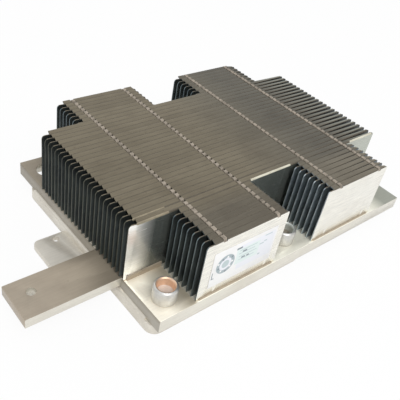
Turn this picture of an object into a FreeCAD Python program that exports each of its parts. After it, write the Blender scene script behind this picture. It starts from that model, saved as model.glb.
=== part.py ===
import FreeCAD, Part
import math
import os
import Sketcher

# Passive heatsink: a nickel-plated base plate carries rows of folded aluminium fins.
# X runs along the fins, Y from the labelled front row to the rear, Z up.
# The origin is the centre of the screw pattern, on the underside of the contact plate.

SIZES = {
    # fin rows
    "StackLength": 101.6,      # longest fins, end to end
    "LeftRecess": 12.2,        # left notch, from the stack's left end to the left block
    "BlockLength": 29.6,       # short fins of the front and rear blocks
    "MiddleRecess": 16.9,      # middle notch between the blocks, round a screw
    "FinPitch": 1.93,
    "FinGauge": 0.3,
    "FinHeight": 19.2,
    "LeftRelief": 2.4,         # the flanges stop this far short of a fin's left end
    "RightRelief": 0.9,
    "NarrowFlange": 1.25,      # top flange past the last lock, short of the next fin
    "NarrowStart": 1.4,        # from the last lock to the narrow flange
    "LeftCornerCut": 2.3,      # bevelled top left corner of each fin, along X
    "LeftCornerDrop": 1.5,
    "RightCornerCut": 0.8,
    "LeftLockInset": 6.0,      # lock tabs, from the left ends of the short fins
    "RightLockInset": 4.2,
    "LockWidth": 1.5,
    "LockLength": 1.15,
    "LockRise": 0.25,
    # base plate
    "PlateThickness": 4.3,
    "LeftSetback": 0.3,        # plate's left edge, inside the stack's left end
    "RightOverhang": 4.3,
    "FrontOverhang": 0.6,
    "RearOverhang": 0.15,
    "HoleRadius": 3.2,
    "PocketRadius": 4.9,       # clip pocket under each screw hole
    "PocketDepth": 2.7,
    "LeftScrewInset": 6.0,     # left screws, from the stack's left end
    "MiddleScrewGap": 9.4,     # middle screws, from the left blocks' right ends
    "FrontScrewGap": 9.94,     # front screws, from the middle fins
    "RearScrewGap": 6.74,      # rear screws, from the middle fins
    # contact plate and its tab
    "ContactThickness": 3.2,
    "ContactLength": 58.4,
    "ContactProud": 0.7,       # past the base plate's left edge
    "ContactFrontSetback": 1.6,
    "ContactRearSetback": 7.0,
    "ContactCorner": 3.2,
    "ContactHoleRadius": 3.3,
    "TabReach": 10.2,
    "TabThickness": 1.6,
    "TabRearOffset": 22.4,     # from the contact plate's rear edge to the tab
    "TabWidth": 21.5,
    "TabCorner": 2.0,
    "TabHoleRadius": 1.0,
    "TabHoleReach": 3.6,
    "TabHoleEdge": 2.0,
    # side bar
    "BarReach": 26.9,          # past the stack's left end
    "BarSeat": 20.5,           # length let into the base plate
    "BarWidth": 12.7,
    "BarThickness": 3.0,
    "BarFrontOffset": 16.9,    # from the front row to the bar
    "BarHoleRadius": 1.3,
    "BarHoleEnd": 5.4,
    "BarHoleEdge": 7.6,
    # captive screws and their clips
    "HeadRadius": 3.45,
    "HeadHeight": 4.8,
    "HeadBevel": 0.45,
    "SocketRadius": 2.3,
    "SocketDepth": 2.6,
    "SocketBevel": 0.4,
    "ShankRadius": 2.4,
    "ShankClearance": 0.2,     # shank tip above the contact face
    "GrooveRadius": 1.7,
    "ClipRadius": 4.1,
    "ClipThickness": 0.8,
    "ClipPlay": 0.05,
    "ClipRest": 0.1,           # clip above the underside of the base plate
    "ClipMouth": 2.6,
    # label
    "LabelInset": 3.3,
    "LabelLength": 23.2,
    "LabelHeight": 12.4,
    "LabelLift": 3.0,
    "LabelThickness": 0.1,
}

FRONT_ROWS = 8
MIDDLE_ROWS = 24
REAR_ROWS = 7
SAME_POINT = 0.001

RIGHT_BLOCK = "(Sizes.LeftRecess + Sizes.BlockLength + Sizes.MiddleRecess)"
STACK_DEPTH = "(%d * Sizes.FinPitch)" % (FRONT_ROWS + MIDDLE_ROWS + REAR_ROWS)

# The screw pattern: the right pair stands in the notch between the blocks.
MIDDLE_SCREWS = "(Sizes.LeftRecess + Sizes.BlockLength + Sizes.MiddleScrewGap)"
SCREW_SPACING_X = "(%s - Sizes.LeftScrewInset)" % MIDDLE_SCREWS
SCREW_SPACING_Y = "(Sizes.FrontScrewGap + %d * Sizes.FinPitch + Sizes.RearScrewGap)" % MIDDLE_ROWS
FRONT_SCREWS = "(%d * Sizes.FinPitch - Sizes.FrontScrewGap)" % FRONT_ROWS

LEFT = "-(Sizes.LeftScrewInset + %s / 2)" % SCREW_SPACING_X
FRONT = "-(%s + %s / 2)" % (FRONT_SCREWS, SCREW_SPACING_Y)
PLATE_TOP = "(Sizes.ContactThickness + Sizes.PlateThickness)"

doc = FreeCAD.newDocument("Heatsink")


def make_sheet():
    sheet = doc.addObject("Spreadsheet::Sheet", "Sizes")
    for row, (name, value) in enumerate(SIZES.items(), start=1):
        sheet.set("A%d" % row, name)
        sheet.set("B%d" % row, str(value))
        sheet.setAlias("B%d" % row, name)
    doc.recompute()


def new_body(label):
    body = doc.addObject("PartDesign::Body", label)
    body.Label = label
    body.AllowCompound = True
    return body


def place(part, x="0", y="0", z="0"):
    part.setExpression("Placement.Base.x", x)
    part.setExpression("Placement.Base.y", y)
    part.setExpression("Placement.Base.z", z)


def sketch_on(body, role, name):
    """A sketch attached to one of the body's own origin planes."""
    sketch = body.newObject("Sketcher::SketchObject", name)
    planes = [plane for plane in body.Origin.OriginFeatures if plane.Role == role]
    sketch.AttachmentSupport = [(planes[0], "")]
    sketch.MapMode = "FlatFace"
    return sketch


def pin_point(sketch, geometry, point, x, y):
    for kind, expression in (("DistanceX", x), ("DistanceY", y)):
        number = sketch.addConstraint(Sketcher.Constraint(kind, geometry, point, 1.0))
        sketch.setExpression("Constraints[%d]" % number, expression)


def add_outline(sketch, corners):
    """A closed outline of straight lines, each corner bound to its two expressions."""
    first = sketch.GeometryCount
    count = len(corners)
    turns = [2 * math.pi * number / count for number in range(count)]
    guesses = [FreeCAD.Vector(math.cos(turn), math.sin(turn), 0) for turn in turns]
    for number in range(count):
        following = (number + 1) % count
        sketch.addGeometry(Part.LineSegment(guesses[number], guesses[following]), False)
    for number in range(count):
        following = (number + 1) % count
        sketch.addConstraint(Sketcher.Constraint("Coincident", first + number, 2, first + following, 1))
    for number, (x, y) in enumerate(corners):
        pin_point(sketch, first + number, 1, x, y)


def add_rectangle(sketch, left, bottom, right, top):
    add_outline(sketch, [(left, bottom), (right, bottom), (right, top), (left, top)])


def add_circle(sketch, x, y, radius):
    circle = Part.Circle(FreeCAD.Vector(0, 0, 0), FreeCAD.Vector(0, 0, 1), 1.0)
    geometry = sketch.addGeometry(circle, False)
    number = sketch.addConstraint(Sketcher.Constraint("Radius", geometry, 1.0))
    sketch.setExpression("Constraints[%d]" % number, radius)
    pin_point(sketch, geometry, 3, x, y)


def pad(body, sketch, name, length, reverse=False):
    feature = body.newObject("PartDesign::Pad", name)
    feature.Profile = sketch
    feature.Reversed = reverse
    feature.setExpression("Length", length)
    doc.recompute()
    return feature


def pocket(body, sketch, name, depth, reverse=False):
    feature = body.newObject("PartDesign::Pocket", name)
    feature.Profile = sketch
    feature.Reversed = reverse
    feature.setExpression("Length", depth)
    doc.recompute()
    return feature


def round_corners(body, base, name, radius, corners):
    """Round the upright edges that stand at the given corners."""
    targets = [(base.evalExpression(x), base.evalExpression(y)) for x, y in corners]
    edges = []
    for number, edge in enumerate(base.Shape.Edges, start=1):
        start = edge.Vertexes[0].Point
        end = edge.Vertexes[-1].Point
        upright = math.hypot(start.x - end.x, start.y - end.y) < SAME_POINT
        if upright and any(math.hypot(start.x - x, start.y - y) < SAME_POINT for x, y in targets):
            edges.append("Edge%d" % number)
    fillet = body.newObject("PartDesign::Fillet", name)
    fillet.Base = (base, edges)
    fillet.setExpression("Radius", radius)
    doc.recompute()
    return fillet


def make_fin(label, row, spans):
    """One row's fin: a web with top and bottom flanges folded back to the next row.

    Each span is (start, length, lock centres): expressions measured from the stack's left end.
    """
    body = new_body(label)
    web = sketch_on(body, "XZ_Plane", label + "_web")
    flanges = sketch_on(body, "XZ_Plane", label + "_flanges")
    narrow = sketch_on(body, "XZ_Plane", label + "_narrow_flange")
    locks = sketch_on(body, "XZ_Plane", label + "_locks")
    for start, length, lock_centres in spans:
        end = "%s + %s" % (start, length)
        add_outline(web, [
            (start, "0"),
            (end, "0"),
            (end, "Sizes.FinHeight - Sizes.RightCornerCut"),
            (end + " - Sizes.RightCornerCut", "Sizes.FinHeight"),
            (start + " + Sizes.LeftCornerCut", "Sizes.FinHeight"),
            (start, "Sizes.FinHeight - Sizes.LeftCornerDrop"),
        ])
        near = start + " + Sizes.LeftRelief"
        far = end + " - Sizes.RightRelief"
        add_rectangle(flanges, near, "0", far, "Sizes.FinGauge")
        narrow_start = lock_centres[-1] + " + Sizes.NarrowStart"
        add_rectangle(flanges, near, "Sizes.FinHeight - Sizes.FinGauge", narrow_start, "Sizes.FinHeight")
        add_rectangle(narrow, narrow_start, "Sizes.FinHeight - Sizes.FinGauge", far, "Sizes.FinHeight")
        for lock in lock_centres:
            add_rectangle(
                locks,
                lock + " - Sizes.LockWidth / 2",
                "Sizes.FinHeight - Sizes.FinGauge",
                lock + " + Sizes.LockWidth / 2",
                "Sizes.FinHeight + Sizes.LockRise",
            )
    pad(body, web, label + "_sheet", "Sizes.FinGauge", reverse=True)
    pad(body, flanges, label + "_folds", "Sizes.FinPitch", reverse=True)
    pad(body, narrow, label + "_narrow_fold", "Sizes.NarrowFlange", reverse=True)
    pad(body, locks, label + "_tabs", "Sizes.LockLength", reverse=True)
    place(body, LEFT, "%s + %d * Sizes.FinPitch" % (FRONT, row), PLATE_TOP)
    return body


def block_locks(start):
    return [start + " + Sizes.LeftLockInset", start + " + Sizes.BlockLength - Sizes.RightLockInset"]


def make_fins():
    left_span = ("Sizes.LeftRecess", "Sizes.BlockLength", block_locks("Sizes.LeftRecess"))
    right_span = (RIGHT_BLOCK, "Sizes.BlockLength", block_locks(RIGHT_BLOCK))
    wide_span = ("0", "Sizes.StackLength", left_span[2] + right_span[2])
    fins = []
    for number in range(FRONT_ROWS):
        fins.append(make_fin("front_left_fin_%02d" % (number + 1), number, [left_span]))
        fins.append(make_fin("front_right_fin_%02d" % (number + 1), number, [right_span]))
    for number in range(MIDDLE_ROWS):
        row = FRONT_ROWS + number
        fins.append(make_fin("middle_fin_%02d" % (number + 1), row, [wide_span]))
    for number in range(REAR_ROWS):
        row = FRONT_ROWS + MIDDLE_ROWS + number
        fins.append(make_fin("rear_fin_pair_%02d" % (number + 1), row, [left_span, right_span]))
    return fins


def screw_places():
    """The four corners of the screw pattern, as expressions in the part's own frame."""
    half_x = SCREW_SPACING_X + " / 2"
    half_y = SCREW_SPACING_Y + " / 2"
    return {
        "front_left": ("-" + half_x, "-" + half_y),
        "front_middle": (half_x, "-" + half_y),
        "rear_left": ("-" + half_x, half_y),
        "rear_middle": (half_x, half_y),
    }


def make_base_plate():
    body = new_body("base_plate")
    left = LEFT + " + Sizes.LeftSetback"
    right = LEFT + " + Sizes.StackLength + Sizes.RightOverhang"
    front = FRONT + " - Sizes.FrontOverhang"
    rear = FRONT + " + %s + Sizes.RearOverhang" % STACK_DEPTH
    slab = sketch_on(body, "XY_Plane", "plate_outline")
    add_rectangle(slab, left, front, right, rear)
    pad(body, slab, "plate_slab", "Sizes.PlateThickness")
    holes = sketch_on(body, "XY_Plane", "plate_holes")
    pockets = sketch_on(body, "XY_Plane", "plate_pockets")
    for x, y in screw_places().values():
        add_circle(holes, x, y, "Sizes.HoleRadius")
        add_circle(pockets, x, y, "Sizes.PocketRadius")
    pocket(body, holes, "screw_holes", "Sizes.PlateThickness", reverse=True)
    pocket(body, pockets, "clip_pockets", "Sizes.PocketDepth", reverse=True)
    seat = sketch_on(body, "XY_Plane", "bar_seat_outline")
    seat.setExpression("AttachmentOffset.Base.z", "Sizes.PlateThickness - Sizes.BarThickness")
    bar_front = FRONT + " + Sizes.BarFrontOffset"
    add_rectangle(seat, left, bar_front, LEFT + " + Sizes.BarSeat", bar_front + " + Sizes.BarWidth")
    pocket(body, seat, "bar_seat", "Sizes.BarThickness", reverse=True)
    place(body, z="Sizes.ContactThickness")
    return body


def make_contact_plate():
    """The plate that meets the processor, with a thin tab on its left side."""
    body = new_body("contact_plate")
    left = LEFT + " + Sizes.LeftSetback - Sizes.ContactProud"
    right = left + " + Sizes.ContactLength"
    front = FRONT + " - Sizes.FrontOverhang + Sizes.ContactFrontSetback"
    rear = FRONT + " + %s + Sizes.RearOverhang - Sizes.ContactRearSetback" % STACK_DEPTH
    slab = sketch_on(body, "XY_Plane", "contact_outline")
    add_rectangle(slab, left, front, right, rear)
    sharp_slab = pad(body, slab, "contact_slab", "Sizes.ContactThickness")
    slab_corners = [(left, front), (right, front), (right, rear), (left, rear)]
    round_corners(body, sharp_slab, "contact_slab_corners", "Sizes.ContactCorner", slab_corners)
    tab = sketch_on(body, "XY_Plane", "tab_outline")
    tab_left = left + " - Sizes.TabReach"
    tab_rear = rear + " - Sizes.TabRearOffset"
    tab_front = tab_rear + " - Sizes.TabWidth"
    add_rectangle(tab, tab_left, tab_front, left, tab_rear)
    sharp_tab = pad(body, tab, "tab_sheet", "Sizes.TabThickness")
    tab_corners = [(tab_left, tab_front), (tab_left, tab_rear)]
    round_corners(body, sharp_tab, "tab_corners", "Sizes.TabCorner", tab_corners)
    holes = sketch_on(body, "XY_Plane", "contact_holes")
    for x, y in screw_places().values():
        add_circle(holes, x, y, "Sizes.ContactHoleRadius")
    add_circle(holes, left + " - Sizes.TabHoleReach", tab_rear + " - Sizes.TabHoleEdge",
               "Sizes.TabHoleRadius")
    pocket(body, holes, "contact_plate_holes", "Sizes.ContactThickness", reverse=True)
    place(body)
    return body


def make_side_bar():
    body = new_body("side_bar")
    outline = sketch_on(body, "XY_Plane", "bar_outline")
    tip = LEFT + " - Sizes.BarReach"
    front = FRONT + " + Sizes.BarFrontOffset"
    add_rectangle(outline, tip, front, LEFT + " + Sizes.BarSeat", front + " + Sizes.BarWidth")
    pad(body, outline, "bar_strip", "Sizes.BarThickness")
    hole = sketch_on(body, "XY_Plane", "bar_hole_outline")
    add_circle(hole, tip + " + Sizes.BarHoleEnd", front + " + Sizes.BarHoleEdge", "Sizes.BarHoleRadius")
    pocket(body, hole, "bar_hole", "Sizes.BarThickness", reverse=True)
    place(body, z=PLATE_TOP + " - Sizes.BarThickness")
    return body


def revolve(body, sketch, name):
    feature = body.newObject("PartDesign::Revolution", name)
    feature.Profile = sketch
    feature.ReferenceAxis = (sketch, ["V_Axis"])
    feature.Angle = 360.0
    doc.recompute()
    return feature


def make_screw(label, x, y):
    """A shouldered screw: round socket head on the plate, grooved shank below it."""
    body = new_body(label)
    half_section = sketch_on(body, "XZ_Plane", label + "_section")
    groove_low = "-Sizes.PlateThickness + Sizes.ClipRest - Sizes.ClipPlay"
    groove_high = "-Sizes.PlateThickness + Sizes.ClipRest + Sizes.ClipThickness + Sizes.ClipPlay"
    add_outline(half_section, [
        ("0", "Sizes.HeadHeight - Sizes.SocketDepth"),
        ("Sizes.SocketRadius", "Sizes.HeadHeight - Sizes.SocketDepth"),
        ("Sizes.SocketRadius", "Sizes.HeadHeight - Sizes.SocketBevel"),
        ("Sizes.SocketRadius + Sizes.SocketBevel", "Sizes.HeadHeight"),
        ("Sizes.HeadRadius - Sizes.HeadBevel", "Sizes.HeadHeight"),
        ("Sizes.HeadRadius", "Sizes.HeadHeight - Sizes.HeadBevel"),
        ("Sizes.HeadRadius", "0"),
        ("Sizes.ShankRadius", "0"),
        ("Sizes.ShankRadius", groove_high),
        ("Sizes.GrooveRadius", groove_high),
        ("Sizes.GrooveRadius", groove_low),
        ("Sizes.ShankRadius", groove_low),
        ("Sizes.ShankRadius", "Sizes.ShankClearance - " + PLATE_TOP),
        ("0", "Sizes.ShankClearance - " + PLATE_TOP),
    ])
    revolve(body, half_section, label + "_turning")
    place(body, x, y, PLATE_TOP)
    return body


def make_clip(label, x, y):
    """A flat retaining clip, open on its right side, that sits in the shank's groove."""
    body = new_body(label)
    ring = sketch_on(body, "XY_Plane", label + "_outline")
    add_circle(ring, "0", "0", "Sizes.ClipRadius")
    add_circle(ring, "0", "0", "Sizes.GrooveRadius + Sizes.ClipPlay")
    pad(body, ring, label + "_sheet", "Sizes.ClipThickness")
    mouth = sketch_on(body, "XY_Plane", label + "_mouth_outline")
    add_rectangle(mouth, "0", "-Sizes.ClipMouth / 2", "2 * Sizes.ClipRadius", "Sizes.ClipMouth / 2")
    pocket(body, mouth, label + "_mouth", "Sizes.ClipThickness", reverse=True)
    place(body, x, y, "Sizes.ContactThickness + Sizes.ClipRest")
    return body


def make_fasteners():
    """Three captive screws remain; the rear left hole is empty."""
    parts = []
    for corner, (x, y) in screw_places().items():
        if corner != "rear_left":
            parts.append(make_screw("captive_screw_" + corner, x, y))
            parts.append(make_clip("retaining_clip_" + corner, x, y))
    return parts


def make_label():
    body = new_body("label")
    outline = sketch_on(body, "XZ_Plane", "label_outline")
    add_rectangle(outline, "0", "0", "Sizes.LabelLength", "Sizes.LabelHeight")
    pad(body, outline, "label_sheet", "Sizes.LabelThickness")
    place(body, LEFT + " + Sizes.LeftRecess + Sizes.LabelInset", FRONT, PLATE_TOP + " + Sizes.LabelLift")
    return body


def check_document():
    doc.recompute()
    for item in doc.Objects:
        if "Invalid" in item.State or "Error" in item.State:
            raise RuntimeError("%s failed: %s" % (item.Label, item.State))


def export(parts):
    os.makedirs("parts", exist_ok=True)
    for part in parts:
        if part.Shape.isNull() or not part.Shape.isValid():
            raise RuntimeError("bad shape: " + part.Label)
    for part in parts:
        part.Shape.exportStep("parts/%s.step" % part.Label)
    print("wrote", len(parts), "sub-parts")


make_sheet()
sub_parts = [make_base_plate(), make_contact_plate(), make_side_bar(), make_label()]
sub_parts += make_fasteners()
sub_parts += make_fins()
check_document()
export(sub_parts)
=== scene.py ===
import bpy
import bmesh
import math
import random
from mathutils import Matrix, Vector


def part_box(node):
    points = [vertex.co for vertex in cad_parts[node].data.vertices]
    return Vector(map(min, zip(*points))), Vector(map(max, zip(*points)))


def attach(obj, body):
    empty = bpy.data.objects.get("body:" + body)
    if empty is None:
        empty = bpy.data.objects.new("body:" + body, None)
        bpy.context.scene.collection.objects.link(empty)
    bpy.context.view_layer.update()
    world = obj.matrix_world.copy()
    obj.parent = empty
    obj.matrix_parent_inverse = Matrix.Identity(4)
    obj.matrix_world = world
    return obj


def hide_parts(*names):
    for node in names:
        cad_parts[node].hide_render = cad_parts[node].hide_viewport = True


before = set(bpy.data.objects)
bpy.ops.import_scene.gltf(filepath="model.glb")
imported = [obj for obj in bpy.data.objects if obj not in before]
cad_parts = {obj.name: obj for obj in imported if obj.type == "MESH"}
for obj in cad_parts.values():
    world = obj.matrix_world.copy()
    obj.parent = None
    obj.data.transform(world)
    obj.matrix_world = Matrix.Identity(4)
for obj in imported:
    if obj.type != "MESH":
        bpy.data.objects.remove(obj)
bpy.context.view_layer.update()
scene = bpy.context.scene
mm = 0.001
hair = 0.01 * mm  # what counts as the same place
squarely, nearly, halfway, slightly = 0.9, 0.8, 0.5, 0.2  # how far a face looks one way
edgeAngles = {  # in degrees
    "flat": 0.6,    # faces that differ less are merged
    "sharp": 40,    # edges that turn more are softened
    "smooth": 32,   # and those that turn less look smooth
    "finSmooth": 35, "solderSmooth": 40, "seamSmooth": 50,
}
alongRow, alongDepth, upward = (1, 0, 0), (0, 1, 0), (0, 0, 1)
plain = (1, 1, 1)  # the tone that changes nothing
print("frame loaded:", len(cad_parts), "nodes")


def deselectAll():
    if bpy.context.mode != "OBJECT":
        bpy.ops.object.mode_set(mode="OBJECT")
    bpy.ops.object.select_all(action="DESELECT")


def makeActive(piece):
    deselectAll()
    piece.select_set(True)
    bpy.context.view_layer.objects.active = piece


def editStart(piece, mode="EDGE"):
    makeActive(piece)
    bpy.ops.object.mode_set(mode="EDIT")
    bpy.ops.mesh.select_mode(type=mode)


def editEnd():
    bpy.ops.object.mode_set(mode="OBJECT")


def pick(kind, test):  # selects the verts, edges or faces that pass the test
    mesh = bmesh.from_edit_mesh(bpy.context.edit_object.data)
    for group in (mesh.faces, mesh.edges, mesh.verts):
        for item in group:
            item.select = False
    for item in getattr(mesh, kind):
        if kind == "verts":
            middle = item.co
        elif kind == "edges":
            middle = (item.verts[0].co + item.verts[1].co) / 2
        else:
            middle = item.calc_center_median()
        if test(middle, item):
            item.select = True
    mesh.select_flush_mode()
    bmesh.update_edit_mesh(bpy.context.edit_object.data)


def sameAlong(edge, axis):  # both ends at one place along the axis
    return abs(edge.verts[0].co[axis] - edge.verts[1].co[axis]) < hair


def alongX(edge):
    return abs(edge.verts[0].co.x - edge.verts[1].co.x) > hair and sameAlong(edge, 2)


def cutAt(axis, place):  # a straight cut right through the piece
    bpy.ops.mesh.select_all(action="SELECT")
    normal = [0, 0, 0]
    normal[axis] = 1
    bpy.ops.mesh.bisect(plane_co=[place * n for n in normal], plane_no=normal, threshold=hair / 10)


def pushOut(along, up):  # a new strip from the picked edges
    bpy.ops.mesh.extrude_region_move(TRANSFORM_OT_translate={"value": (0, along, up)})


def applyModifier(piece, kind, **settings):
    makeActive(piece)
    modifier = piece.modifiers.new(kind.title(), kind)
    for key, value in settings.items():
        setattr(modifier, key, value)
    bpy.ops.object.modifier_apply(modifier=modifier.name)


def settle(piece):  # place, turn and size go into the mesh
    makeActive(piece)
    bpy.ops.object.transform_apply(location=True, rotation=True, scale=True)


def smoothByAngle(piece, degrees):
    makeActive(piece)
    bpy.ops.object.shade_smooth_by_angle(angle=math.radians(degrees))


def paint(piece, *materials):
    piece.data.materials.clear()
    for material in materials:
        piece.data.materials.append(material)


def paintWhere(piece, index, test):  # the faces that pass get another of the piece's materials
    editStart(piece, "FACE")
    pick("faces", test)
    bpy.context.object.active_material_index = index
    bpy.ops.object.material_slot_assign()
    editEnd()


def ownCopy(piece, name, matrix):
    twin = piece.copy()
    twin.data = piece.data.copy()
    twin.name = name
    twin.data.name = name
    twin.data.transform(matrix)
    scene.collection.objects.link(twin)
    return twin


def joinInto(piece, others):
    deselectAll()
    for other in others:
        other.select_set(True)
    piece.select_set(True)
    bpy.context.view_layer.objects.active = piece
    bpy.ops.object.join()


def block(name, low, high):
    centre = [(a + b) / 2 for a, b in zip(low, high)]
    bpy.ops.mesh.primitive_cube_add(size=1, location=centre)
    piece = bpy.context.object
    piece.name = name
    piece.scale = [b - a for a, b in zip(low, high)]
    settle(piece)
    return piece


def addNode(tree, kind, **values):
    node = tree.nodes.new("ShaderNode" + kind)
    for key, value in values.items():
        setattr(node, key, value)
    return node


def setInputs(node, **values):
    for key, value in values.items():
        node.inputs[key.replace("_", " ")].default_value = value
    return node


def newGroup(name, inputs, outputs):
    group = bpy.data.node_groups.new(name, "ShaderNodeTree")
    for label, kind, value in inputs:
        socket = group.interface.new_socket(name=label, in_out="INPUT", socket_type="NodeSocket" + kind)
        socket.default_value = value
    for label, kind in outputs:
        group.interface.new_socket(name=label, in_out="OUTPUT", socket_type="NodeSocket" + kind)
    return group, group.nodes.new("NodeGroupInput"), group.nodes.new("NodeGroupOutput")


def useGroup(tree, group, **values):
    node = tree.nodes.new("ShaderNodeGroup")
    node.node_tree = group
    return setInputs(node, **values)


colourMix = {"factor": 0, "first": 6, "second": 7, "result": 2}  # sockets of a mix of colours
floatMix = {"factor": 0, "first": 2, "second": 3, "result": 0}
grainLook = {"stretch": (0.05, 1, 1), "low": 0.3, "high": 0.7, "middle": 0.5}
stainLook = {
    "patchLow": 0.44, "patchHigh": 0.72,
    "speckLow": 0.66, "speckHigh": 0.74,
    "speckFineness": 11,  # how much finer the specks are than the patches
}
printSoftness = 0.03  # of a printed shape's half size


def makeGrainGroup():  # fine drawing lines along the sheet
    group, start, end = newGroup("drawnGrain", [
        ("Fineness", "Float", 3500), ("Tone Spread", "Float", 0.1), ("Roughness", "Float", 0.35),
        ("Roughness Spread", "Float", 0.1), ("Depth", "Float", hair),
    ], [("Tone", "Float"), ("Roughness", "Float"), ("Normal", "Vector")])
    place = addNode(group, "TexCoord")
    stretch = setInputs(addNode(group, "Mapping"), Scale=grainLook["stretch"])
    noise = setInputs(addNode(group, "TexNoise"), Detail=3, Roughness=0.6)
    tone = setInputs(addNode(group, "MapRange"), From_Min=grainLook["low"], From_Max=grainLook["high"])
    lowTone = addNode(group, "Math", operation="SUBTRACT")
    lowTone.inputs[0].default_value = 1
    highTone = addNode(group, "Math", operation="ADD")
    highTone.inputs[0].default_value = 1
    centred = addNode(group, "Math", operation="SUBTRACT")
    centred.inputs[1].default_value = grainLook["middle"]
    rough = addNode(group, "Math", operation="MULTIPLY_ADD")
    bump = addNode(group, "Bump")
    wire = group.links.new
    wire(place.outputs["Object"], stretch.inputs["Vector"])
    wire(stretch.outputs["Vector"], noise.inputs["Vector"])
    wire(start.outputs["Fineness"], noise.inputs["Scale"])
    wire(noise.outputs["Fac"], tone.inputs["Value"])
    wire(start.outputs["Tone Spread"], lowTone.inputs[1])
    wire(start.outputs["Tone Spread"], highTone.inputs[1])
    wire(lowTone.outputs[0], tone.inputs["To Min"])
    wire(highTone.outputs[0], tone.inputs["To Max"])
    wire(noise.outputs["Fac"], centred.inputs[0])
    wire(centred.outputs[0], rough.inputs[0])
    wire(start.outputs["Roughness Spread"], rough.inputs[1])
    wire(start.outputs["Roughness"], rough.inputs[2])
    wire(noise.outputs["Fac"], bump.inputs["Height"])
    wire(start.outputs["Depth"], bump.inputs["Distance"])
    wire(tone.outputs["Result"], end.inputs["Tone"])
    wire(rough.outputs[0], end.inputs["Roughness"])
    wire(bump.outputs["Normal"], end.inputs["Normal"])
    return group


def makeHandlingGroup():  # stains and smudges from handling, in soft patches and small specks
    group, start, end = newGroup("handling", [
        ("Clean", "Color", (0.8, 0.8, 0.8, 1)), ("Stained", "Color", (0.4, 0.35, 0.3, 1)),
        ("Patch Scale", "Float", 120), ("Amount", "Float", 0.4),
    ], [("Color", "Color")])
    place = addNode(group, "TexCoord")
    patches = setInputs(addNode(group, "TexNoise"), Detail=5, Roughness=0.62)
    patchMask = setInputs(addNode(group, "MapRange"), From_Min=stainLook["patchLow"],
                          From_Max=stainLook["patchHigh"])
    finer = addNode(group, "Math", operation="MULTIPLY")
    finer.inputs[1].default_value = stainLook["speckFineness"]
    specks = setInputs(addNode(group, "TexNoise"), Detail=2, Roughness=0.5)
    speckMask = setInputs(addNode(group, "MapRange"), From_Min=stainLook["speckLow"],
                          From_Max=stainLook["speckHigh"])
    both = addNode(group, "Math", operation="MAXIMUM")
    amount = addNode(group, "Math", operation="MULTIPLY", use_clamp=True)
    mix = addNode(group, "Mix", data_type="RGBA")
    wire = group.links.new
    wire(place.outputs["Object"], patches.inputs["Vector"])
    wire(place.outputs["Object"], specks.inputs["Vector"])
    wire(start.outputs["Patch Scale"], patches.inputs["Scale"])
    wire(start.outputs["Patch Scale"], finer.inputs[0])
    wire(finer.outputs[0], specks.inputs["Scale"])
    wire(patches.outputs["Fac"], patchMask.inputs["Value"])
    wire(specks.outputs["Fac"], speckMask.inputs["Value"])
    wire(patchMask.outputs["Result"], both.inputs[0])
    wire(speckMask.outputs["Result"], both.inputs[1])
    wire(both.outputs[0], amount.inputs[0])
    wire(start.outputs["Amount"], amount.inputs[1])
    wire(amount.outputs[0], mix.inputs[colourMix["factor"]])
    wire(start.outputs["Clean"], mix.inputs[colourMix["first"]])
    wire(start.outputs["Stained"], mix.inputs[colourMix["second"]])
    wire(mix.outputs[colourMix["result"]], end.inputs["Color"])
    return group


def makeSpanGroup():  # 0 before the first place along an axis, 1 past the second
    group, start, end = newGroup("spanAlongAxis", [
        ("Axis", "Vector", upward), ("First", "Float", 0), ("Second", "Float", 1),
    ], [("Mask", "Float")])
    place = addNode(group, "TexCoord")
    along = addNode(group, "VectorMath", operation="DOT_PRODUCT")
    span = addNode(group, "MapRange")
    wire = group.links.new
    wire(place.outputs["Object"], along.inputs[0])
    wire(start.outputs["Axis"], along.inputs[1])
    wire(along.outputs["Value"], span.inputs["Value"])
    wire(start.outputs["First"], span.inputs["From Min"])
    wire(start.outputs["Second"], span.inputs["From Max"])
    wire(span.outputs["Result"], end.inputs["Mask"])
    return group


def makePrintGroup():  # 1 inside an upright box or disc on the label's face
    group, start, end = newGroup("printedShape", [
        ("Centre", "Vector", (0, 0, 0)), ("Half Size", "Vector", (mm, 1, mm)), ("Roundness", "Float", 0),
    ], [("Mask", "Float")])
    place = addNode(group, "TexCoord")
    offset = addNode(group, "VectorMath", operation="SUBTRACT")
    shrink = addNode(group, "VectorMath", operation="DIVIDE")
    parts = addNode(group, "SeparateXYZ")
    across = addNode(group, "Math", operation="ABSOLUTE")
    up = addNode(group, "Math", operation="ABSOLUTE")
    square = addNode(group, "Math", operation="MAXIMUM")
    disc = addNode(group, "VectorMath", operation="LENGTH")
    shape = addNode(group, "Mix", data_type="FLOAT")
    inside = setInputs(addNode(group, "MapRange"), From_Min=1 + printSoftness, From_Max=1 - printSoftness)
    wire = group.links.new
    wire(place.outputs["Object"], offset.inputs[0])
    wire(start.outputs["Centre"], offset.inputs[1])
    wire(offset.outputs["Vector"], shrink.inputs[0])
    wire(start.outputs["Half Size"], shrink.inputs[1])
    wire(shrink.outputs["Vector"], parts.inputs[0])
    wire(parts.outputs["X"], across.inputs[0])
    wire(parts.outputs["Z"], up.inputs[0])
    wire(across.outputs[0], square.inputs[0])
    wire(up.outputs[0], square.inputs[1])
    wire(shrink.outputs["Vector"], disc.inputs[0])
    wire(start.outputs["Roundness"], shape.inputs[floatMix["factor"]])
    wire(square.outputs[0], shape.inputs[floatMix["first"]])
    wire(disc.outputs["Value"], shape.inputs[floatMix["second"]])
    wire(shape.outputs[floatMix["result"]], inside.inputs["Value"])
    wire(inside.outputs["Result"], end.inputs["Mask"])
    return group


drawnGrain = makeGrainGroup()
handling = makeHandlingGroup()
spanAlongAxis = makeSpanGroup()
printedShape = makePrintGroup()


def newMaterial(name):
    material = bpy.data.materials.new(name)
    material.use_nodes = True
    tree = material.node_tree
    return material, tree, tree.nodes["Principled BSDF"]


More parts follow.
